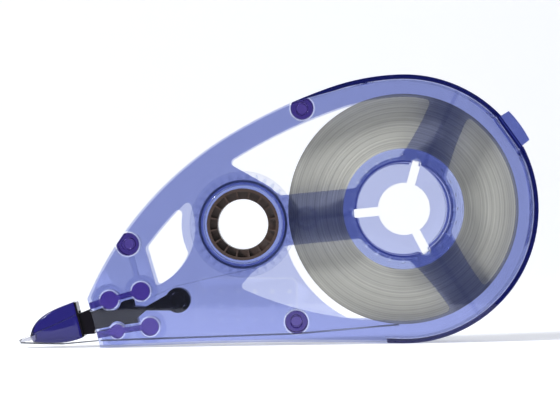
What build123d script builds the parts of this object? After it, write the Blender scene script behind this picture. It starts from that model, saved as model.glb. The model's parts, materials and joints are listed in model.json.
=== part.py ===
from build123d import *
import math
import os

# Correction tape roller. Sizes in mm and degrees.
# Everything is drawn in a side plane about the supply hub (x forward is negative, z up)
# and given its depth along Y. The last step stands the object on its edge.

# ---- roll and case outline
winding_radius = 20.0        # the full roll
roll_room = 3.27             # from the roll to the outside of the round end
shoulder_start = 92.0        # where the round end turns into the back
shoulder_arcs = ((40.8, 17.5), (93.8, 11.5), (61.0, 36.0))   # radius, turn of each tangent arc
nose_reach = 24.61           # nose corner ahead of the take-up axis
nose_drop = 0.8              # and below the round end's lowest point
belly_rise = 0.62            # how far the underside curves up between its two ends

# ---- depths along Y, each built on the one inside it
tape_width = 5.0
core_lip_front = 0.9         # core beyond the tape, front and back
core_lip_back = 0.1
washer_thickness = 0.2
washer_gap = 0.1
gear_width = 1.0
gear_side_gap = 0.4          # gears to the rear case
rib_gap = 0.25               # core to the cover's ribs
rib_height = 0.45
plate = 1.2                  # wall of both shells
flange_width = 0.7
rim_wall = 0.8
rim_gap = 0.1                # front cover inside the rim wall

# ---- shell windows
band = 3.9                   # solid band inside the outline
rear_band = 1.87             # the rear case's band below the reels
nose_band = 4.5              # the band beside the small nose window
hub_land = 0.47              # solid ring outside the boss
arm_angles = (65.5, 305.5)   # the two arms that end at the rim
arm_hub_half = 4.5
arm_mid_half = 3.5
arm_rim_half = 3.7
link_half = 4.4              # half width of the arm between the two reels
corner_round = 0.7
corner_share = 0.45          # the most of an edge that a rounding takes at one end
sharp_turn = 25.0            # a corner that turns more than this is rounded
window_apex_ahead = -2.53    # the large window's tip, from the take-up axis
window_apex_above = 10.63
takeup_collar = 1.2          # solid ring of both shells outside the take-up journal
wedge_angles = (295.6, 277.8, 266.9)   # corners of the front wedge, about the take-up axis
wedge_outside = (-0.35, 0.88, 2.92)    # the same, outside that solid ring
wedge_floor = (10.4, -14.78)           # middle of its lower edge, from the take-up axis
wedge_end_angle = 265.0
nose_field = (               # what the nose window reaches over, from the take-up axis
    (-14.95, -10.41), (-3.93, -10.41), (-3.93, 10.68), (-20.13, 8.68), (-18.73, 2.28))
nose_window_land = 2.6       # in the front cover it also stays this far outside the solid ring
nose_arc = (-19.43, -0.68, 10.95)   # its round edge: centre from the take-up axis, radius

# ---- thin raised lines inside the front cover
arm_rib = 0.7
rib_to_rim = 0.9
arm_ring = (2.1, 1.45)       # small ring on the arm between the reels: outside, inside
arm_ring_place = 11.1        # from the take-up axis
nose_rib = 0.95

# ---- supply side
hub_hole = 4.5
slot_width = 1.5
slot_angles = (185.5, 74.8, 297.7)
boss_inner = 8.1
boss_outer = 8.53
running_gap = 0.07           # radial clearance of everything that turns on a boss
front_boss = 1.4
rear_boss = 2.4
core_radius = 10.5
notch_depth = 0.85
notch_width = 0.5
notch_count = 24
notch_length = 2.0
washer_margin = 0.2
washer_scoop = 0.5
gear_hole_count = 8
gear_hole_radius = 2.6
gear_hole_place = 14.5

# ---- gears; their module follows from the distance between the reels
drive_teeth = 78
takeup_teeth = 34
pressure_angle = 20.0
backlash = 0.16
addendum_modules = 0.9
dedendum_modules = 1.2
takeup_angle = 185.5         # direction from the supply hub to the take-up reel
reel_gap = 0.3               # full roll to the liner on the take-up drum

# ---- take-up side, each radius built on the one inside it
journal_radius = 6.8
journal_wall = 0.6           # round the knob
knob_ring = 1.82
pocket_rim = 0.5
pocket_count = 16
pocket_depth = 1.6
pocket_bar = 3.0             # angle that each bar between two pockets takes
drum_step = 0.5
liner_build = 0.4
flange_step = 1.5
collar_width = 0.9

# ---- pins that join the shells, as (outline edge, fraction along it, distance inside it)
pin_places = ((2, 0.3, 1.62), (3, 0.693, 1.62), (5, 0.646, 3.42))
pin_radius = 2.0
pin_recess = 1.0
pin_halo = 0.22
pin_sink = 0.1               # pins and posts end this far inside the front cover's face
recess_depth = 0.8
post_dot = 0.3
post_dot_depth = 0.6

# ---- head and its guides, in a line from the pivot to the tip
pivot_from_nose = (13.31, 8.19)
head_tilt = 14.5
head_swing = 1.3             # how far the head rocks each way
swing_spare = 0.03           # left between head and guides at the end of the swing
pivot_radius = 2.17
pivot_pin_radius = 1.4
pivot_pin_gap = 0.06
pivot_dimple = 0.8           # share of the pin's radius
pivot_dimple_depth = 0.5
shank_side = 0.5             # half of what the shank is wider than the tape
guide_web = 1.0
edge_web = 1.2
web_reach = 6.0              # the web runs on past the posts to the nose edge
web_lean = 0.35
upper_posts = ((11.4, 3.06, 1.6), (5.73, 3.16, 1.62))      # along, above, radius
lower_posts = ((11.43, -2.53, 1.26), (5.74, -3.17, 1.6))
post_collar = 1.2
waist = 0.6
waist_root = (0.5, 1.7)      # along, half height, inside the ring
waist_above = 0.9            # where the waist meets the barrel
waist_below = 1.2
barrel_start = 7.6
barrel_end = 15.2
barrel_above = 2.3
barrel_below = 2.2
liner_channel = 0.85         # channel floor, above the head's middle line
cheek = 0.32
cheek_rise = 0.3
neck_root = 1.0              # how far the neck starts inside the barrel
neck_end = 17.25
neck_above = 1.75
neck_below = 1.7
shell_side = 0.4             # hood beyond the shank on each side
shell_collar = 0.4
shell_top = ((17.65, 4.28), (21.7, 3.73), (25.07, 2.23), (26.39, 0.35))
shell_belly = ((26.1, -0.8), (23.1, -1.69), (20.5, -2.2), (17.65, -2.13))
shell_mouth = ((17.0, 2.5), (22.0, 1.6), (28.5, 0.6), (28.5, -0.4), (22.0, -0.9), (17.0, -1.05))
mouth_gap = 0.3              # beside the tape
blade_side = 0.2
blade_shape = ((17.65, 0.9), (22.0, 0.72), (28.2, 0.07), (28.2, -0.23), (22.0, -0.8), (17.65, -0.95))
collar_slot = (1.75, 2.45)   # the used liner goes through the collar here
collar_inset = (0.15, 0.1)   # collar inside the hood, above and below

# ---- tape runs
tape_thick = 0.08
tape_gap = 0.12
guide_lift = 0.7             # fresh tape below the lower guide
supply_leave = 268.0         # where the fresh tape leaves the roll
liner_meet = 287.0           # where the used liner meets its drum
pivot_lead = 0.6             # the liner crosses the ring this far ahead of the pivot
supply_bend = 6.0
liner_bend = 2.0
fresh_end = (14.9, -3.46)    # where the fresh tape leaves the case
liner_start = (13.2, 1.56)   # where the used liner comes back into it
tip_route = (
    (15.3, -3.4), (21.4, -2.4), (25.9, -1.16), (28.35, -0.42),
    (28.45, 0.2), (22.0, 1.2), (17.3, 2.05), (13.75, 1.66))

# ---- tab on the rim
tab_angle = 35.8
tab_half = 8.1               # half the angle that its foot takes
tab_height = 1.78
tab_top_half = 7.1
tab_crown = 0.05
tab_inset = 0.1              # foot inside the round end
tab_root = 0.3
tab_plate_inset = 0.5
tab_depth = 4.0
tab_ring = (0.85, 0.5)       # outside, inside
tab_ring_rise = 0.83
tab_ring_depth = 0.4

# ---- plain engraved panel on the rear case
panel_ahead = 8.43           # left end ahead of the take-up axis
panel_rise = 1.22            # lower edge above the case's lowest point
panel_size = (18.0, 10.0)
panel_round = 1.4
panel_line = 0.3
panel_dot = 0.45
panel_depth = 0.25
panel_dots = (6, 3)

# ---- where the rim wall fades out, as fractions of the second and first shoulder arcs
fade_ends = (0.37, 0.55)
fade_cover = 6.0
rim_end_angle = -83.7

far = 80.0                   # beyond everything

# ---- what follows from the above
case_radius = winding_radius + roll_room
core_back = tape_width / 2 + core_lip_back
gear_front = core_back + washer_gap + washer_thickness
rear_front = gear_front + gear_width + gear_side_gap
rear_back = rear_front + plate
core_front = -tape_width / 2 - core_lip_front
cover_back = core_front - rib_gap - rib_height
cover_front = cover_back - plate
shank_half = tape_width / 2 + shank_side
shell_half = shank_half + shell_side
hub_disc = boss_outer + hub_land
core_bore = boss_outer + running_gap
knob_radius = journal_radius - journal_wall
knob_bore = knob_radius - knob_ring
pocket_radius = knob_radius - pocket_rim
drum_radius = journal_radius + drum_step
liner_radius = drum_radius + liner_build
flange_radius = liner_radius + flange_step
takeup_hole = journal_radius + running_gap
takeup_land = journal_radius + takeup_collar
gear_distance = winding_radius + liner_radius + reel_gap
gear_module = 2 * gear_distance / (drive_teeth + takeup_teeth)
guide_gap = neck_end * math.tan(math.radians(head_swing)) + swing_spare


def polar(radius, angle, centre=(0.0, 0.0)):
    turn = math.radians(angle)
    return (centre[0] + radius * math.cos(turn), centre[1] + radius * math.sin(turn))


takeup = polar(gear_distance, takeup_angle)
nose_corner = (takeup[0] - nose_reach, -case_radius - nose_drop)
pivot = (nose_corner[0] + pivot_from_nose[0], nose_corner[1] + pivot_from_nose[1])
window_apex = (takeup[0] + window_apex_ahead, takeup[1] + window_apex_above)


def head_point(along, above):
    """A point given by its distance from the pivot along the head and above its middle line."""
    turn = math.radians(head_tilt)
    x = pivot[0] - along * math.cos(turn) - above * math.sin(turn)
    return (x, pivot[1] - along * math.sin(turn) + above * math.cos(turn))


def head_face(points):
    return Polygon(*[head_point(*point) for point in points], align=None)


def slab(sketch, front, back):
    """A side-plane sketch given depth from Y = front to Y = back."""
    return Pos(0, back, 0) * (Rot(90, 0, 0) * extrude(sketch, amount=back - front, dir=(0, 0, 1)))


def disc(radius, centre=(0.0, 0.0)):
    return Pos(*centre) * Circle(radius)


def ring(outer, inner, centre=(0.0, 0.0)):
    return disc(outer, centre) - disc(inner, centre)


def bar(start, end, width):
    """A straight strip between two points."""
    dx = end[0] - start[0]
    dz = end[1] - start[1]
    middle = ((start[0] + end[0]) / 2, (start[1] + end[1]) / 2)
    turn = math.degrees(math.atan2(dz, dx))
    return Pos(*middle) * (Rot(0, 0, turn) * Rectangle(math.hypot(dx, dz), width))


def outline_edges():
    """The case outline: round end, three tangent arcs along the back, nose edge, underside."""
    edges = [CenterArc((0, 0), case_radius, -90, shoulder_start + 90)]
    for radius, turn in shoulder_arcs:
        edges.append(JernArc(edges[-1] @ 1, edges[-1] % 1, radius, turn))
    edges.append(Line(edges[-1] @ 1, nose_corner))
    middle = (nose_corner[0] / 2, (nose_corner[1] - case_radius) / 2 + belly_rise)
    edges.append(ThreePointArc(nose_corner, middle, (0, -case_radius)))
    return edges


def outline():
    return make_face(outline_edges())


def rounded(sketch):
    """The sketch with its sharp corners rounded, each by no more than its two edges allow."""
    shape = Sketch()
    for face in sketch.faces():
        edges = face.outer_wire().order_edges()
        block = extrude(face, amount=1, dir=(0, 0, 1))
        for before, after in zip(edges, edges[1:] + edges[:1]):
            turn = (before % 1).get_angle(after % 0)
            if turn > sharp_turn:
                reach = corner_share * min(before.length, after.length)
                room = reach / math.tan(math.radians(turn / 2))
                place = (after @ 0) + Vector(0, 0, 0.5)
                upright = min(block.edges(), key=lambda edge: (edge.center() - place).length)
                block = fillet([upright], min(corner_round, room))
        shape += Pos(0, 0, -1) * block.faces().sort_by(Axis.Z)[-1]
    return shape


def rim_strip(thickness):
    """The part of the outline that the rim wall takes: it fades out along the back."""
    inner = offset(outline(), amount=-thickness)
    strip = outline() - inner
    fade_end = outline_edges()[2] @ fade_ends[0]
    fade_start = outline_edges()[1] @ fade_ends[1]
    fade_start = (fade_start.X, fade_start.Y - thickness)
    below = Polygon(
        (fade_end.X, fade_end.Y), fade_start, (fade_start[0], 0), polar(far, rim_end_angle),
        (-far, -far), (-far, fade_end.Y + fade_cover), align=None)
    return (strip - below).faces().sort_by(SortBy.AREA)[-1]


def tab_foot():
    """The flat wall under the tab, as a closed strip inside the outline."""
    outside = case_radius - tab_inset
    inside = outside - rim_wall
    low, high = tab_angle - tab_half, tab_angle + tab_half
    return Polygon(
        polar(outside, low), polar(outside, high), polar(inside, high), polar(inside, low), align=None)


def tab_face():
    low = polar(case_radius - tab_root, tab_angle - tab_half)
    high = polar(case_radius - tab_root, tab_angle + tab_half)
    top_low = polar(case_radius + tab_height, tab_angle - tab_top_half)
    top_high = polar(case_radius + tab_height, tab_angle + tab_top_half)
    crown = polar(case_radius + tab_height + tab_crown, tab_angle)
    edges = [
        Line(low, top_low),
        ThreePointArc(top_low, crown, top_high),
        Line(top_high, high),
        Line(high, low),
    ]
    return make_face(edges)


def tab_cut():
    """The wedge of the round end that the tab's flat wall replaces."""
    return Polygon(
        (0, 0), polar(far, tab_angle - tab_half), polar(far, tab_angle + tab_half), align=None)


def arms():
    """The two arms from the hub to the rim and the wider one between the reels."""
    middle = (hub_disc + case_radius) / 2
    start = hub_disc - 2
    edges = [
        Line((start, -arm_hub_half), (start, arm_hub_half)),
        ThreePointArc((start, arm_hub_half), (middle, arm_mid_half), (case_radius - 1, arm_rim_half)),
        Line((case_radius - 1, arm_rim_half), (case_radius - 1, -arm_rim_half)),
        ThreePointArc((case_radius - 1, -arm_rim_half), (middle, -arm_mid_half), (start, -arm_hub_half)),
    ]
    arm = make_face(edges)
    shape = bar((0, 0), takeup, 2 * link_half)
    for angle in arm_angles:
        shape += Rot(0, 0, angle) * arm
    return shape


def tangent_touch():
    """Where a line from the window's tip touches the solid ring about the take-up hole."""
    dx = window_apex[0] - takeup[0]
    dz = window_apex[1] - takeup[1]
    reach = math.degrees(math.acos(takeup_land / math.hypot(dx, dz)))
    return polar(takeup_land, math.degrees(math.atan2(dz, dx)) - reach, takeup)


def nose_land():
    """Everything ahead of the large windows and below the arm between the reels."""
    touch = tangent_touch()
    beyond = (
        window_apex[0] + 3 * (window_apex[0] - touch[0]),
        window_apex[1] + 3 * (window_apex[1] - touch[1]))
    return Polygon(beyond, touch, takeup, (0, 0), (0, -far), (-far, -far), (-far, 0), align=None)


def wedge_window():
    """The front cover's window reaches on between the reels to a point below the take-up reel."""
    corners = [
        polar(takeup_land + out, angle, takeup) for out, angle in zip(wedge_outside, wedge_angles)]
    floor_middle = (takeup[0] + wedge_floor[0], takeup[1] + wedge_floor[1])
    floor_end = polar(case_radius - band, wedge_end_angle)
    in_arm = polar(gear_distance - takeup_land, takeup_angle)
    edges = [
        Polyline((0, 0), in_arm, *corners),
        ThreePointArc(corners[-1], floor_middle, floor_end),
        Line(floor_end, (0, 0)),
    ]
    return make_face(edges)


def nose_window():
    """The small window between the nose and the take-up reel, as both shells share it."""
    field = Polygon(*[(takeup[0] + x, takeup[1] + z) for x, z in nose_field], align=None)
    ahead, above, radius = nose_arc
    round_edge = disc(radius, (takeup[0] + ahead, takeup[1] + above))
    return offset(outline(), amount=-nose_band) & field & round_edge


def large_windows(land):
    inner = offset(outline(), amount=-band)
    return rounded(inner - land - disc(hub_disc) - arms() - disc(takeup_land, takeup))


def front_windows():
    land = nose_land() - wedge_window() - disc(case_radius - band)
    nose = rounded(nose_window() - disc(takeup_land + nose_window_land, takeup))
    return large_windows(land) + nose


def rear_windows():
    land = nose_land() - disc(case_radius - rear_band)
    return large_windows(land) + rounded(nose_window())


def hub_opening():
    """The round hole in the middle and the three slots that run out from it."""
    shape = disc(hub_hole)
    for angle in slot_angles:
        slot = bar((0, 0), (hub_disc - slot_width / 2, 0), slot_width)
        slot += disc(slot_width / 2, (hub_disc - slot_width / 2, 0))
        shape += Rot(0, 0, angle) * slot
    return shape


def pin_centres():
    """The pins stand just inside the outline."""
    centres = []
    for index, fraction, inset in pin_places:
        edge = outline_edges()[index]
        foot = edge @ fraction
        along = edge % fraction
        centres.append((foot.X - along.Y * inset, foot.Y + along.X * inset))
    return centres


def post_list(posts):
    return [(head_point(along, above), radius) for along, above, radius in posts]


def guide_face(posts):
    """Two posts, the web between them and the web on to the nose edge."""
    (first, first_radius), (second, second_radius) = post_list(posts)
    side = math.copysign(web_lean, posts[0][1])
    to_edge = head_point(posts[0][0] + web_reach, posts[0][1] - side)
    shape = disc(first_radius, first) + disc(second_radius, second)
    shape += bar(first, second, guide_web) + bar(first, to_edge, edge_web)
    return shape & outline()


def cover_openings():
    """Every hole through the front cover; pins and posts pass with a free edge round them."""
    shape = front_windows() + hub_opening() + disc(takeup_hole, takeup)
    for centre in pin_centres():
        shape += disc(pin_radius + pin_halo, centre)
    for centre, radius in post_list(upper_posts + lower_posts):
        shape += disc(radius + pin_halo, centre)
    return shape


def make_front_cover():
    openings = cover_openings()
    tab_wall = (case_radius - tab_inset - rim_wall) * math.cos(math.radians(tab_half))
    under_tab = disc(tab_wall - rim_gap) & tab_cut()
    face = outline() - rim_strip(rim_wall + rim_gap) - tab_cut() + under_tab - openings
    cover = slab(face, cover_front, cover_back)
    boss = ring(boss_outer, boss_inner) - hub_opening()
    cover += slab(boss, cover_back, cover_back + front_boss)
    cover += slab(cover_ribs() - openings, cover_back, cover_back + rib_height)
    return cover


def cover_ribs():
    """Thin raised lines inside the front cover: arm ribs, collars and the nose rib."""
    start = boss_outer + running_gap
    shape = bar(polar(start, takeup_angle), polar(gear_distance - takeup_land, takeup_angle), arm_rib)
    for angle in arm_angles:
        shape += bar(polar(start, angle), polar(case_radius - rib_to_rim, angle), arm_rib)
    shape += ring(*arm_ring, polar(gear_distance - arm_ring_place, takeup_angle))
    shape += ring(takeup_hole + collar_width, takeup_hole, takeup)
    for centre, radius in post_list(upper_posts + lower_posts):
        shape += ring(radius + post_collar, radius + pin_halo, centre)
    nose_pin = pin_centres()[1]
    shape += bar(nose_pin, post_list(upper_posts)[1][0], nose_rib)
    return shape


def panel_face():
    """A plain rounded frame round rows of dots."""
    wide, tall = panel_size
    frame = RectangleRounded(wide, tall, panel_round)
    frame -= RectangleRounded(wide - 2 * panel_line, tall - 2 * panel_line, panel_round - panel_line)
    dots = GridLocations(wide / panel_dots[0], tall / (panel_dots[1] + 1), *panel_dots)
    frame += dots * Circle(panel_dot)
    return Pos(takeup[0] - panel_ahead + wide / 2, -case_radius + panel_rise + tall / 2) * frame


def make_rear_case():
    foot = tab_foot()
    face = outline() - tab_cut() + (disc(case_radius - tab_plate_inset) & tab_cut()) + foot
    face = face - rear_windows() - hub_opening() - disc(boss_inner) - disc(takeup_hole, takeup)
    for centre in pin_centres():
        face -= disc(pin_radius, centre)
    case = slab(face, rear_front, rear_back)
    case += slab(rim_strip(rim_wall) - tab_cut() + foot, cover_front, rear_front)
    case += slab(ring(boss_outer, boss_inner) - hub_opening(), rear_front - rear_boss, rear_front)
    tab = slab(tab_face(), -tab_depth / 2, tab_depth / 2)
    mark = ring(*tab_ring, polar(case_radius + tab_ring_rise, tab_angle + 1))
    case += tab - slab(mark, -far, -tab_depth / 2 + tab_ring_depth)
    case -= slab(panel_face(), rear_back - panel_depth, far)
    return case


def make_case_pin(centre):
    """A round pin that holds the shells together, trimmed where it meets the outline."""
    inside = outline() - rim_strip(rim_wall)
    front = cover_front + pin_sink
    pin = slab(disc(pin_radius, centre) & inside, front, rear_back)
    pin -= slab(disc(pin_recess, centre), -far, front + recess_depth)
    return pin - slab(disc(pin_recess, centre), rear_back - recess_depth, far)


def make_guide(posts):
    """One guide: its posts stand on through the front cover, its web stops at the ribs."""
    front = cover_front + pin_sink
    guide = slab(guide_face(posts), cover_back + rib_height, rear_front)
    for centre, radius in post_list(posts):
        stub = slab(disc(radius, centre) & outline(), front, cover_back + rib_height)
        guide += stub - slab(disc(post_dot, centre), -far, front + post_dot_depth)
    return guide


def gear_face(teeth, turn):
    """An involute gear outline with one tooth's middle at the angle turn."""
    pitch = gear_module * teeth / 2
    base = pitch * math.cos(math.radians(pressure_angle))
    half = (math.pi * gear_module / 2 - backlash) / (2 * pitch)
    slant = math.radians(pressure_angle)
    at_pitch = half + math.tan(slant) - slant
    flank = []
    root = pitch - dedendum_modules * gear_module
    tip = pitch + addendum_modules * gear_module
    for radius in (root, pitch, tip):
        leaning = math.acos(min(1.0, base / radius))
        flank.append((radius, math.degrees(at_pitch - math.tan(leaning) + leaning)))
    points = []
    for tooth in range(teeth):
        middle = turn + 360 * tooth / teeth
        points += [polar(radius, middle - angle) for radius, angle in flank]
        points += [polar(radius, middle + angle) for radius, angle in reversed(flank)]
    return make_face(Polyline(*points, close=True))


def make_drive_gear():
    face = gear_face(drive_teeth, takeup_angle) - disc(core_bore)
    for hole in range(gear_hole_count):
        turn = 360 * (hole + 0.5) / gear_hole_count
        face -= disc(gear_hole_radius, polar(gear_hole_place, turn))
    return slab(face, gear_front, gear_front + gear_width)


def make_clutch_washer():
    """A three-lobed friction spring between the gear and the core."""
    edge = core_radius - washer_margin
    face = ring(edge, core_bore + washer_margin)
    for lobe in range(3):
        face -= disc(washer_scoop, polar(edge, 60 + 120 * lobe))
    return slab(face, gear_front - washer_thickness, gear_front)


def make_tape_core():
    core = slab(ring(core_radius, core_bore), core_front, core_back)
    notches = Sketch()
    for index in range(notch_count):
        turn = 360 * index / notch_count
        start = polar(core_bore - notch_width, turn)
        notches += bar(start, polar(core_bore + notch_depth, turn), notch_width)
    return core - slab(notches, -far, core_front + notch_length)


def make_tape_winding():
    return slab(ring(winding_radius, core_radius), -tape_width / 2, tape_width / 2)


def make_takeup_reel():
    """Drum, front flange, gear and the two journals that turn in the shells."""
    gear_turn = takeup_angle - 180 + 180 / takeup_teeth
    gear = Pos(*takeup) * gear_face(takeup_teeth, gear_turn)
    reel = slab(disc(drum_radius, takeup), core_front, gear_front)
    reel += slab(disc(flange_radius, takeup), core_front, core_front + flange_width)
    reel += slab(gear, gear_front, gear_front + gear_width)
    reel += slab(disc(journal_radius, takeup), cover_front, rear_back)
    return reel - slab(disc(knob_radius, takeup), -far, far)


def make_rewind_knob():
    knob = slab(ring(knob_radius, knob_bore, takeup), cover_front, rear_back)
    pitch = 360 / pocket_count
    half = (pitch - pocket_bar) / 2
    pocket = Polygon(
        (0, 0), polar(far, -half), polar(far, half), align=None) & disc(pocket_radius)
    pockets = Sketch()
    for index in range(pocket_count):
        pockets += Rot(0, 0, index * pitch) * pocket
    pockets = Pos(*takeup) * pockets
    knob -= slab(pockets, -far, cover_front + pocket_depth)
    return knob - slab(pockets, rear_back - pocket_depth, far)


def make_liner_winding():
    return slab(ring(liner_radius, drum_radius, takeup), -tape_width / 2, tape_width / 2)


def make_head_shank():
    """Ring on the pivot pin, thin springy waist, and the barrel that the guides hold."""
    face = disc(pivot_radius, pivot)
    waist_at = (upper_posts[1][0] + lower_posts[1][0]) / 2
    along, half = waist_root
    face += head_face((
        (along, half), (waist_at, waist / 2), (barrel_start, waist_above),
        (barrel_start, -waist_below), (waist_at, -waist / 2), (along, -half)))
    neck_start = barrel_end - neck_root
    face += head_face((
        (barrel_start, liner_channel), (barrel_end, liner_channel),
        (barrel_end, -barrel_below), (barrel_start, -barrel_below)))
    face += head_face((
        (neck_start, liner_channel), (neck_end, neck_above),
        (neck_end, -neck_below), (neck_start, -barrel_below)))
    cheek_face = head_face((
        (barrel_start, barrel_above), (barrel_end, barrel_above), (neck_end, neck_above + cheek_rise),
        (neck_end, 0), (barrel_start, 0)))
    keep_clear = Sketch()
    for posts in (upper_posts, lower_posts):
        keep_clear += offset(guide_face(posts), amount=guide_gap)
    face = face - keep_clear - disc(pivot_pin_radius + pivot_pin_gap, pivot)
    cheek_face = cheek_face - keep_clear
    shank = slab(face, -shank_half, shank_half)
    shank += slab(cheek_face, -shank_half, -shank_half + cheek)
    shank += slab(cheek_face, shank_half - cheek, shank_half)
    return shank


def make_pivot_pin():
    """Pin across the case at the head's ring, with a dished front end."""
    pin = slab(disc(pivot_pin_radius, pivot), cover_back, rear_front)
    return pin - slab(disc(pivot_dimple * pivot_pin_radius, pivot), -far, cover_back + pivot_dimple_depth)


def shell_face():
    top = [head_point(*point) for point in shell_top]
    belly = [head_point(*point) for point in shell_belly]
    edges = [Spline(*top), Line(top[-1], belly[0]), Spline(*belly), Line(belly[-1], top[0])]
    return make_face(edges)


def make_head_shell():
    """Rounded hood over the blade, with a mouth that the blade and the tape come out of."""
    mouth = slab(head_face(shell_mouth), -tape_width / 2 - mouth_gap, tape_width / 2 + mouth_gap)
    return slab(shell_face(), -shell_half, shell_half) - mouth


def make_applicator_blade():
    half = tape_width / 2 + blade_side
    return slab(head_face(blade_shape), -half, half)


def make_head_collar():
    """Thin plate that closes the hood behind, with a slot for the used liner."""
    front = neck_end + shell_collar
    top = shell_top[0][1] - collar_inset[0]
    low = shell_belly[-1][1] + collar_inset[1]
    plate_face = head_face(((neck_end, top), (front, top), (front, low), (neck_end, low)))
    slot_low, slot_high = collar_slot
    slot = head_face((
        (neck_end - 1, slot_low), (front + 1, slot_low), (front + 1, slot_high), (neck_end - 1, slot_high)))
    collar = slab(plate_face, -shell_half, shell_half)
    return collar - slab(slot, -tape_width / 2 - mouth_gap, tape_width / 2 + mouth_gap)


def make_tip_tape():
    """The tape's turn round the blade: fresh in below, bare liner out above."""
    points = [head_point(*point) for point in tip_route]
    return slab(trace(Polyline(*points), tape_thick), -tape_width / 2, tape_width / 2)


def tape_run(points, bend):
    """A tape seen edge on, given its thickness and width."""
    line = FilletPolyline(*points, radius=bend)
    return slab(trace(line, tape_thick), -tape_width / 2, tape_width / 2)


def supply_points():
    """Fresh tape: off the bottom of the roll, under the rear pin and the lower guide, to the nose."""
    start = polar(winding_radius + tape_gap + tape_thick, supply_leave)
    pin = pin_centres()[2]
    guide, guide_radius = post_list(lower_posts)[1]
    return [
        start,
        (pin[0], pin[1] - pin_radius - tape_gap - tape_thick),
        (guide[0], guide[1] - guide_radius - guide_lift),
        head_point(*fresh_end),
    ]


def liner_points():
    """Used liner: in over the neck, under both upper posts, over the pivot, to the take-up drum."""
    under = tape_gap + tape_thick / 2
    first = head_point(upper_posts[0][0], upper_posts[0][1] - upper_posts[0][2] - under)
    second = head_point(upper_posts[1][0], upper_posts[1][1] - upper_posts[1][2] - under)
    over = (pivot[0] - pivot_lead, pivot[1] + pivot_radius + tape_gap + tape_thick)
    drum = polar(liner_radius + tape_gap + tape_thick, liner_meet, takeup)
    return [head_point(*liner_start), first, second, over, drum]


parts = {
    "front_cover": make_front_cover(),
    "rear_case": make_rear_case(),
    "back_pin": make_case_pin(pin_centres()[0]),
    "nose_pin": make_case_pin(pin_centres()[1]),
    "belly_pin": make_case_pin(pin_centres()[2]),
    "upper_nose_guide": make_guide(upper_posts),
    "lower_nose_guide": make_guide(lower_posts),
    "head_pivot_pin": make_pivot_pin(),
    "supply_tape_run": tape_run(supply_points(), supply_bend),
    "liner_run": tape_run(liner_points(), liner_bend),
    "drive_gear": make_drive_gear(),
    "clutch_washer": make_clutch_washer(),
    "tape_core": make_tape_core(),
    "tape_winding": make_tape_winding(),
    "takeup_reel": make_takeup_reel(),
    "rewind_knob": make_rewind_knob(),
    "liner_winding": make_liner_winding(),
    "head_shank": make_head_shank(),
    "head_shell": make_head_shell(),
    "applicator_blade": make_applicator_blade(),
    "head_collar": make_head_collar(),
    "tip_tape": make_tip_tape(),
}

# The object stands on its nose corner and its round end: turn it until both are level.
stand_turn = math.degrees(
    -math.pi + math.asin(case_radius / math.hypot(*nose_corner))
    - math.atan2(nose_corner[1], nose_corner[0]))
turned = {name: Rot(0, -stand_turn, 0) * shape for name, shape in parts.items()}
box = Compound(children=[copy for shape in turned.values() for copy in shape.solids()]).bounding_box()
middle = box.center()
shift = (-middle.X, -middle.Y, -box.min.Z)

os.makedirs("parts", exist_ok=True)
for name, shape in turned.items():
    export_step(Pos(*shift) * shape, f"parts/{name}.step")
print("turn", stand_turn, "shift", shift, "size", box.size)
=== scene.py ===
import json
import math
import random

import bmesh
import bpy
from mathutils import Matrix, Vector

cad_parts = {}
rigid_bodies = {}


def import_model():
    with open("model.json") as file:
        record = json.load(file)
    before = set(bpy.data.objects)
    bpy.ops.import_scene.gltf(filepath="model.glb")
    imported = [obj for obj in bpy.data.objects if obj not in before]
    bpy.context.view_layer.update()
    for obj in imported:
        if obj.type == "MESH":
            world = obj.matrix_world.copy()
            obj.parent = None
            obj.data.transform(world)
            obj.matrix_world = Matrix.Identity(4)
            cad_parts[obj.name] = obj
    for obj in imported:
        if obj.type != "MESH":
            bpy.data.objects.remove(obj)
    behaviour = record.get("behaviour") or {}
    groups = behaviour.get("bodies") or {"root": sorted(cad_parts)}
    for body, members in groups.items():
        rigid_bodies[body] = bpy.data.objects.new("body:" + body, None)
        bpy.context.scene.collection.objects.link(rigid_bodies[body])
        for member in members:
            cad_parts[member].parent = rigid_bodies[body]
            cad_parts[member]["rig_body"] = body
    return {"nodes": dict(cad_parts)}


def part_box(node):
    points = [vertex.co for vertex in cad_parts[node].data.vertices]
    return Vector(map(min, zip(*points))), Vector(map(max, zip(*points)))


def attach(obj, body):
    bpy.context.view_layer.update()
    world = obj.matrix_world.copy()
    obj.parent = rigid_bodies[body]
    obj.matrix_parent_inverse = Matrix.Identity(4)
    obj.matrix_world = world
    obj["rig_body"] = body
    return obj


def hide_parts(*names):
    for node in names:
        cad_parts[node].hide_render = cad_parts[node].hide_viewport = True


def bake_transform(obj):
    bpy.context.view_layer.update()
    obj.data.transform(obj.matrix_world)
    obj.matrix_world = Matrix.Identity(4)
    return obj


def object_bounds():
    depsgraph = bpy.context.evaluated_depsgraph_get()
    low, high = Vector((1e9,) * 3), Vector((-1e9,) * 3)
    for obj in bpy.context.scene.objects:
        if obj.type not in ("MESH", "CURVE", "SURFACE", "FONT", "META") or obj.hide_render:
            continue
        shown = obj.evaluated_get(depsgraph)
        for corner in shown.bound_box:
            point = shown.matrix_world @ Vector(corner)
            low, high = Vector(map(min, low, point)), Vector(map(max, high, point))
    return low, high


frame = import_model()
cad_low, cad_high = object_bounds()


# ---- The two case shells. Real ones are injection moulded in clear blue polystyrene, 1.2 mm
# thick, with crisp edges. The front cover drops inside the rim wall of the rear case.

weld_distance = 0.000003     # corners of the CAD mesh closer than this are one corner


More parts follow.
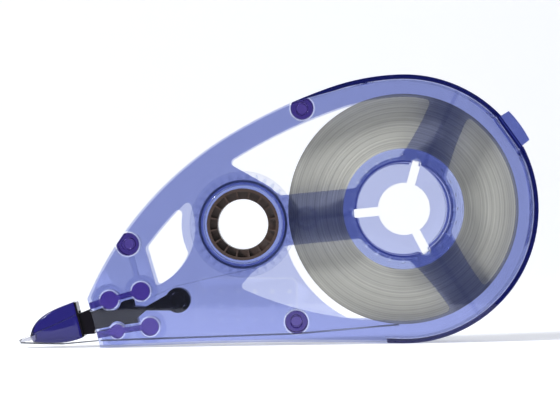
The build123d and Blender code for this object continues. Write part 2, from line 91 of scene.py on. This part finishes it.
def finished_mesh(node, shrink):
    """The node's mesh as one closed skin, a little smaller so that touching faces part."""
    mesh = bmesh.new()
    mesh.from_mesh(frame["nodes"][node].data)
    bmesh.ops.remove_doubles(mesh, verts=mesh.verts, dist=weld_distance)
    bmesh.ops.dissolve_degenerate(mesh, dist=weld_distance, edges=mesh.edges)
    bmesh.ops.dissolve_limit(
        mesh, angle_limit=math.radians(0.5), verts=mesh.verts, edges=mesh.edges)
    for vertex in mesh.verts:
        vertex.co -= vertex.normal * shrink
    return mesh


def add_piece(name, mesh, finish, sharp=30.0):
    """An object at the origin that holds this mesh, smooth except along its sharp edges."""
    data = bpy.data.meshes.new(name)
    mesh.to_mesh(data)
    mesh.free()
    data.shade_smooth()
    data.set_sharp_from_angle(angle=math.radians(sharp))
    data.materials.append(finish)
    piece = bpy.data.objects.new(name, data)
    bpy.context.scene.collection.objects.link(piece)
    return piece


def mark_soft_edges(mesh, width):
    """Marks the sharp edges that have room for a rounding of width metres."""
    sharp_angle = math.radians(30.0)
    near_straight = -0.8         # two edges meet in line when their ways oppose by this much
    room = 1.5 * width
    weight = mesh.edges.layers.float.new("bevel_weight_edge")
    crease = {edge for edge in mesh.edges
              if edge.is_manifold and edge.calc_face_angle() > sharp_angle}
    tight = set()
    for vertex in mesh.verts:
        met = [edge for edge in vertex.link_edges if edge in crease]
        if not met:
            continue
        ways = [(edge.other_vert(vertex).co - vertex.co).normalized() for edge in met]
        straight = len(met) == 2 and ways[0].dot(ways[1]) < near_straight
        near = [edge for edge in vertex.link_edges if not (straight and edge in crease)]
        if len(met) == 1 or any(edge.calc_length() < room for edge in near):
            tight.add(vertex)
    for edge in crease:
        if not tight.intersection(edge.verts):
            edge[weight] = 1.0


def soften(piece, width):
    """Rounds the piece's marked edges by width metres."""
    bevel = piece.modifiers.new("soft_edges", "BEVEL")
    bevel.width = width
    bevel.segments = 2
    bevel.limit_method = "WEIGHT"
    bevel.harden_normals = True


def moulded(node, finish, edge, shrink=0.00001):
    """A finished copy of a moulded piece, which rides where the CAD piece rides."""
    mesh = finished_mesh(node, shrink)
    mark_soft_edges(mesh, edge)
    piece = add_piece(node + "_finished", mesh, finish)
    soften(piece, edge)
    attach(piece, frame["nodes"][node]["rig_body"])
    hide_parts(node)


class Field:
    """A shader value that can be used in a Python expression."""

    def __init__(self, tree, socket):
        self.tree = tree
        self.socket = socket

    def node(self, kind, settings=None, output=0, **sockets):
        """A new node of this kind, its settings made first; one output comes back."""
        made = self.tree.nodes.new(kind)
        for name, value in (settings or {}).items():
            setattr(made, name, value)
        for name, value in sockets.items():
            key = int(name[1:]) if name[0] == "i" and name[1:].isdigit() else name.replace("_", " ")
            if isinstance(value, Field):
                self.tree.links.new(value.socket, made.inputs[key])
            else:
                made.inputs[key].default_value = value
        return Field(self.tree, made.outputs[output])

    def maths(self, operation, first, second):
        return self.node("ShaderNodeMath", {"operation": operation}, i0=first, i1=second)

    def __add__(self, other):
        return self.maths("ADD", self, other)

    def __radd__(self, other):
        return self.maths("ADD", other, self)

    def __sub__(self, other):
        return self.maths("SUBTRACT", self, other)

    def __rsub__(self, other):
        return self.maths("SUBTRACT", other, self)

    def __mul__(self, other):
        return self.maths("MULTIPLY", self, other)

    def __rmul__(self, other):
        return self.maths("MULTIPLY", other, self)

    def __gt__(self, other):
        return self.maths("GREATER_THAN", self, other)

    def noise(self, scale, detail=3.0):
        return self.node("ShaderNodeTexNoise", Vector=self, Scale=scale, Detail=detail)

    def moved(self, place=(0.0, 0.0, 0.0), stretch=(1.0, 1.0, 1.0), turn=(0.0, 0.0, 0.0)):
        return self.node("ShaderNodeMapping", Vector=self, Location=place, Scale=stretch,
                         Rotation=turn)

    def bump(self, distance, strength):
        return self.node("ShaderNodeBump", Height=self, Distance=distance, Strength=strength)

    def blend(self, first, second):
        """Mixes two colours by this value."""
        return self.node("ShaderNodeMix", {"data_type": "RGBA"}, output=2, i0=self,
                         i6=(*first, 1.0), i7=(*second, 1.0))

    def into(self, shader, socket):
        self.tree.links.new(self.socket, shader.inputs[socket])


def new_finish(name):
    """A new material, its shader, and the place on the piece as a Field."""
    made = bpy.data.materials.new(name)
    made.use_nodes = True
    tree = made.node_tree
    shader = tree.nodes["Principled BSDF"]
    return made, shader, Field(tree, tree.nodes.new("ShaderNodeTexCoord").outputs["Object"])


def clear_plastic(name, absorb, roughness=0.02, wear=1.0):
    """Clear dyed plastic with fine scuffs. absorb is what a metre of it takes from each colour."""
    made, shader, place = new_finish(name)
    tree = made.node_tree
    shader.inputs["Transmission Weight"].default_value = 1.0
    shader.inputs["IOR"].default_value = 1.46
    scuff = place.noise(900.0, 4.0)
    streak = place.moved(stretch=(1.0, 1.0, 14.0), turn=(0.0, 0.6, 0.0)).noise(260.0, 1.0)
    flow = place.noise(120.0, 2.0)
    marks = wear * 0.012 * (scuff > 0.66) + wear * 0.015 * (streak > 0.72)
    (roughness + marks).into(shader, "Roughness")
    flow.blend((0.97, 0.975, 1.0), (0.94, 0.95, 0.98)).into(shader, "Base Color")
    (flow + 0.15 * scuff).bump(0.00001, 0.06 * wear).into(shader, "Normal")
    depth = tree.nodes.new("ShaderNodeVolumeAbsorption")
    strongest = max(absorb)
    depth.inputs["Color"].default_value = (*[1 - part / strongest for part in absorb], 1.0)
    depth.inputs["Density"].default_value = strongest
    tree.links.new(depth.outputs[0], tree.nodes["Material Output"].inputs["Volume"])
    return made


crisp_edge = 0.00005
shell_edge = 0.00012
case_blue = clear_plastic("clear_blue_case", (560.0, 500.0, 222.0))
for node in ("front_cover", "rear_case"):
    moulded(node, case_blue, shell_edge)


# ---- Pins and guide posts. They are solid rods of the same dyed plastic, moulded with the rear
# case, so the light that comes through them lengthwise is a much deeper violet.

pin_edge = 0.0001
pin_violet = clear_plastic("deep_violet_pins", (285.0, 330.0, 150.0), roughness=0.05)
post_violet = clear_plastic("violet_guide_posts", (225.0, 290.0, 112.0), roughness=0.05)
for node in ("back_pin", "nose_pin", "belly_pin"):
    moulded(node, pin_violet, pin_edge, shrink=0.00002)
for node in ("upper_nose_guide", "lower_nose_guide"):
    moulded(node, post_violet, pin_edge, shrink=0.00002)


# ---- The drive gear and the take-up reel. Both are moulded in a lighter tint of the same
# plastic. The gear runs on the rear boss behind the roll and turns the reel by its teeth.

reel_blue = clear_plastic("clear_blue_reels", (130.0, 112.0, 46.0), roughness=0.04)
for node in ("drive_gear", "takeup_reel"):
    moulded(node, reel_blue, crisp_edge)


# ---- The core of the roll and the washer behind it. The core is moulded in a nearly clear blue
# plastic. The washer is undyed and springy, and presses the core on the gear so that it slips.

core_tint = clear_plastic("pale_blue_core", (120.0, 104.0, 44.0), roughness=0.04)
moulded("tape_core", core_tint, crisp_edge)
washer_clear = clear_plastic("natural_washer", (30.0, 26.0, 18.0), roughness=0.18)
washer_edge = 0.00002
moulded("clutch_washer", washer_clear, washer_edge)


# ---- The rewind knob: a moulded ring of dark brown plastic, satin, with finger pockets all
# round. It is pressed into the take-up reel, so a finger can wind up slack tape.

def opaque_plastic(name, colour, paler, roughness, grain):
    """Dyed plastic that no light goes through, with a fine moulded grain."""
    made, shader, place = new_finish(name)
    fine = place.noise(2500.0, 5.0)
    place.noise(320.0).blend(colour, paler).into(shader, "Base Color")
    (roughness + 0.12 * fine).into(shader, "Roughness")
    fine.bump(0.00002, grain).into(shader, "Normal")
    return made


knob_brown = opaque_plastic("brown_knob", (0.04, 0.023, 0.018), (0.07, 0.043, 0.035), 0.3, 0.25)
knob_edge = 0.00008
moulded("rewind_knob", knob_brown, knob_edge, shrink=0.0)


# ---- The head's springy shank, its collar and the pin they turn on. The shank is one moulding
# in black plastic: a ring, a thin waist that flexes, and the barrel that the guides hold.

head_black = opaque_plastic("black_head", (0.0025, 0.0018, 0.004), (0.006, 0.004, 0.009), 0.16, 0.03)
head_black.node_tree.nodes["Principled BSDF"].inputs["Specular IOR Level"].default_value = 0.1
head_edge = 0.00009
for node in ("head_shank", "head_collar", "head_pivot_pin"):
    moulded(node, head_black, head_edge, shrink=0.0)


# ---- The hood over the blade: glossy deep blue plastic. Its two sides are rounded over so that
# it slides along a ruler. The blade is a pale clear wedge whose edge lays the film down.

hood_blue = clear_plastic("deep_blue_hood", (600.0, 630.0, 290.0), roughness=0.03, wear=0.6)
hood_round = 0.0014
flat_side = 0.00001          # corners this close to a side of the box lie in that side
hood_low, hood_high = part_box("head_shell")
hood_mesh = finished_mesh("head_shell", 0.0)
walls = [face for face in hood_mesh.faces
         if not all(abs(vertex.co.y - hood_low.y) < flat_side for vertex in face.verts)
         and not all(abs(vertex.co.y - hood_high.y) < flat_side for vertex in face.verts)]
bmesh.ops.delete(hood_mesh, geom=walls, context="FACES_ONLY")
loose = [edge for edge in hood_mesh.edges if not edge.link_faces]
bmesh.ops.delete(hood_mesh, geom=loose, context="EDGES")
bare = [vertex for vertex in hood_mesh.verts if not vertex.link_faces]
bmesh.ops.delete(hood_mesh, geom=bare, context="VERTS")
side_edges = [edge for edge in hood_mesh.edges if len(edge.link_faces) == 1]
bmesh.ops.bridge_loops(hood_mesh, edges=side_edges)
bmesh.ops.recalc_face_normals(hood_mesh, faces=hood_mesh.faces)
bmesh.ops.bevel(hood_mesh, geom=side_edges, offset=hood_round, offset_type="OFFSET", segments=6,
                profile=0.5, affect="EDGES", clamp_overlap=True, material=-1)
hood = add_piece("head_shell_finished", hood_mesh, hood_blue, sharp=50.0)
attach(hood, "head")
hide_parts("head_shell")
blade_shown = 0.0026         # how much of the blade stands out of the hood
blade_pale = opaque_plastic("pale_blade", (0.5, 0.51, 0.58), (0.62, 0.63, 0.7), 0.25, 0.1)
blade_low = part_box("applicator_blade")[0]
blade_mesh = finished_mesh("applicator_blade", 0.0)
bmesh.ops.bisect_plane(
    blade_mesh, geom=blade_mesh.verts[:] + blade_mesh.edges[:] + blade_mesh.faces[:],
    plane_co=(blade_low.x + blade_shown, 0.0, 0.0), plane_no=(1.0, 0.0, 0.0), clear_outer=True)
cut_edges = [edge for edge in blade_mesh.edges if edge.is_boundary]
bmesh.ops.holes_fill(blade_mesh, edges=cut_edges, sides=0)
blade = add_piece("applicator_blade_finished", blade_mesh, blade_pale)
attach(blade, "head")
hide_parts("applicator_blade")


# ---- The full roll: some 12 m of white film on its liner. Each turn lies a little proud or shy
# of the next, and the innermost turns stand out as a low cone.

def wound(node, core_radius, turns, proud, cone, cone_width, finish):
    """A ring of wound film with uneven turns, built by spinning its section round its axis."""
    low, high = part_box(node)
    axis = (low + high) / 2
    outside = (high.x - low.x) / 2
    chance = random.Random(turns)
    section = bmesh.new()
    corners = []
    for face_y, out in ((low.y, -1.0), (high.y, 1.0)):
        side = []
        for turn in range(turns + 1):
            radius = core_radius + (outside - core_radius) * turn / turns
            rise = cone * max(0.0, 1 - (radius - core_radius) / cone_width) ** 1.6
            uneven = 0.0 if turn in (0, turns) else proud * chance.random()
            side.append(section.verts.new((axis.x + radius, face_y + out * (rise - uneven), axis.z)))
        corners += side if out < 0 else side[::-1]
    edges = [section.edges.new(pair) for pair in zip(corners, corners[1:] + corners[:1])]
    bmesh.ops.spin(section, geom=corners + edges, cent=axis, axis=(0, 1, 0), dvec=(0, 0, 0),
                   angle=2 * math.pi, steps=144, use_merge=True, use_duplicate=False)
    bmesh.ops.remove_doubles(section, verts=section.verts, dist=0.000001)
    bmesh.ops.recalc_face_normals(section, faces=section.faces)
    piece = add_piece(node + "_finished", section, finish, sharp=60.0)
    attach(piece, frame["nodes"][node]["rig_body"])
    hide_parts(node)


def wound_film(name, node, colour, paler, lines, roughness):
    """Film seen edge on: fine rings about the node's axis, each turn a slightly other grey."""
    made, shader, place = new_finish(name)
    low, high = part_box(node)
    axis = (low + high) / 2
    flat = place.moved(place=(-axis.x, 0.0, -axis.z), stretch=(1.0, 0.0, 1.0))
    radius = flat.node("ShaderNodeVectorMath", {"operation": "LENGTH"}, output=1, i0=flat)
    by_radius = {"noise_dimensions": "1D"}
    rings = radius.node("ShaderNodeTexNoise", by_radius, W=radius, Scale=lines, Detail=2.0)
    wide = radius.node("ShaderNodeTexNoise", by_radius, W=radius, Scale=lines / 12, Detail=1.0)
    mottle = flat.noise(500.0)
    (1.7 * rings - 0.6 + 0.5 * wide + 0.2 * mottle).blend(colour, paler).into(shader, "Base Color")
    (roughness + 0.15 * rings).into(shader, "Roughness")
    (rings + 0.2 * mottle).bump(0.00004, 0.5).into(shader, "Normal")
    return made


core_low, core_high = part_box("tape_core")
roll_core = (core_high.x - core_low.x) / 2
roll_film = wound_film(
    "wound_film", "tape_winding", (0.27, 0.27, 0.25), (0.46, 0.46, 0.42), lines=3600.0, roughness=0.42)
wound("tape_winding", roll_core, turns=56, proud=0.00006, cone=0.0008, cone_width=0.0045,
      finish=roll_film)

drum_low, drum_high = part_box("liner_winding")
liner_build = 0.0004         # how thick the used liner lies on the drum
drum_core = (drum_high.x - drum_low.x) / 2 - liner_build
liner_film = wound_film(
    "wound_liner", "liner_winding", (0.34, 0.40, 0.55), (0.5, 0.56, 0.68), lines=9000.0, roughness=0.3)
wound("liner_winding", drum_core, turns=4, proud=0.00003, cone=0.0, cone_width=1.0,
      finish=liner_film)


# ---- The free tape: fresh film from the roll to the tip, its turn round the blade, and the bare
# liner on its way back. The two runs stay where they lie at rest; the tip tape rides with the head.

def ribbon_film(name, colour, paler, roughness):
    """Thin flexible film with faint lengthwise lines."""
    made, shader, place = new_finish(name)
    shader.inputs["Transmission Weight"].default_value = 0.6
    lines = place.moved(stretch=(0.2, 30.0, 0.2)).noise(140.0, 2.0)
    lines.blend(colour, paler).into(shader, "Base Color")
    (roughness + 0.1 * lines).into(shader, "Roughness")
    lines.bump(0.00001, 0.2).into(shader, "Normal")
    return made


fresh_film = ribbon_film("fresh_film", (0.55, 0.57, 0.6), (0.7, 0.72, 0.74), 0.35)
liner_strip = clear_plastic("liner_strip", (24.0, 22.0, 12.0), roughness=0.1)
for node, finish, slot in (
        ("supply_tape_run", fresh_film, "correction_tape"),
        ("liner_run", liner_strip, "liner_paper")):
    run = add_piece(node + "_finished", finished_mesh(node, 0.0), finish)
    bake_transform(run)
    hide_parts(node)
film_edge = 0.00001
moulded("tip_tape", fresh_film, film_edge, shrink=0.0)


# ---- Stage: a pale floor that curves up into the backdrop, soft even light and the camera.
# The world is pale where it is seen and through clear plastic, and dim as a source of light.

sweep_start = 0.35
sweep_radius = 0.25
sweep_side = 1.6
sweep_height = 1.4
floor_front = -0.2           # the floor ends here, so that nothing bright faces the piece
sweep = bmesh.new()
front_edge = [sweep.verts.new((side, floor_front, 0.0)) for side in (-sweep_side, sweep_side)]
strip = [sweep.edges.new(front_edge)]
steps = [(0.0, sweep_start - floor_front, 0.0)]
for number in range(9):
    low, high = math.radians(10 * number), math.radians(10 * (number + 1))
    steps.append((0.0, sweep_radius * (math.sin(high) - math.sin(low)),
                  sweep_radius * (math.cos(low) - math.cos(high))))
steps.append((0.0, 0.0, sweep_height))
for step in steps:
    grown = bmesh.ops.extrude_edge_only(sweep, edges=strip)["geom"]
    strip = [part for part in grown if isinstance(part, bmesh.types.BMEdge)]
    ends = [part for part in grown if isinstance(part, bmesh.types.BMVert)]
    bmesh.ops.translate(sweep, vec=step, verts=ends)
bmesh.ops.recalc_face_normals(sweep, faces=sweep.faces)
floor_data = bpy.data.meshes.new("floor")
sweep.to_mesh(floor_data)
sweep.free()
floor_data.shade_smooth()
floor = bpy.data.objects.new("floor", floor_data)
bpy.context.scene.collection.objects.link(floor)
paper, paper_shader = new_finish("pale_paper")[:2]
paper_shader.inputs["Base Color"].default_value = (0.86, 0.875, 0.92, 1.0)
paper_shader.inputs["Roughness"].default_value = 0.9
paper_shader.inputs["Emission Color"].default_value = (0.95, 0.965, 1.0, 1.0)
paper_shader.inputs["Emission Strength"].default_value = 0.42
floor_data.materials.append(paper)

world = bpy.data.worlds.new("soft_light")
world.use_nodes = True
tree = world.node_tree
dim = tree.nodes["Background"]
dim.inputs["Color"].default_value = (0.94, 0.96, 1.0, 1.0)
dim.inputs["Strength"].default_value = 0.2
pale = tree.nodes.new("ShaderNodeBackground")
pale.inputs["Color"].default_value = (0.94, 0.96, 1.0, 1.0)
pale.inputs["Strength"].default_value = 0.93
ray = Field(tree, tree.nodes.new("ShaderNodeLightPath").outputs["Is Camera Ray"])
through = Field(tree, ray.socket.node.outputs["Is Transmission Ray"])
front_share = 0.4            # how pale the world in front is, seen through clear plastic
way = Field(tree, tree.nodes.new("ShaderNodeNewGeometry").outputs["Position"])
behind = way.node("ShaderNodeSeparateXYZ", output=1, i0=way) > 0.0
seen = ray.maths("MAXIMUM", ray, through * (front_share + (1 - front_share) * behind))
choice = tree.nodes.new("ShaderNodeMixShader")
tree.links.new(seen.socket, choice.inputs[0])
tree.links.new(dim.outputs[0], choice.inputs[1])
tree.links.new(pale.outputs[0], choice.inputs[2])
tree.links.new(choice.outputs[0], tree.nodes["World Output"].inputs["Surface"])
bpy.context.scene.world = world

centre = (cad_low + cad_high) / 2


def soft_lamp(name, place, size, power):
    lamp = bpy.data.lights.new(name, "AREA")
    lamp.size = size
    lamp.energy = power
    made = bpy.data.objects.new(name, lamp)
    made.location = centre + Vector(place)
    made.rotation_euler = (-Vector(place)).to_track_quat("-Z", "Y").to_euler()
    bpy.context.scene.collection.objects.link(made)


soft_lamp("key_light", (-0.36, -0.22, 0.36), 0.12, 3.4)

camera_tilt = 0.87           # the case is seen turned by this many degrees
camera = bpy.data.cameras.new("camera")
camera.lens = 184.0
camera.sensor_width = 36.0
view = bpy.data.objects.new("camera", camera)
view.location = (0.0005, -0.5, 0.0234)
view.rotation_euler = (math.radians(90.0), math.radians(camera_tilt), 0.0)
bpy.context.scene.collection.objects.link(view)
bpy.context.scene.camera = view
bpy.context.scene.view_settings.view_transform = "Standard"
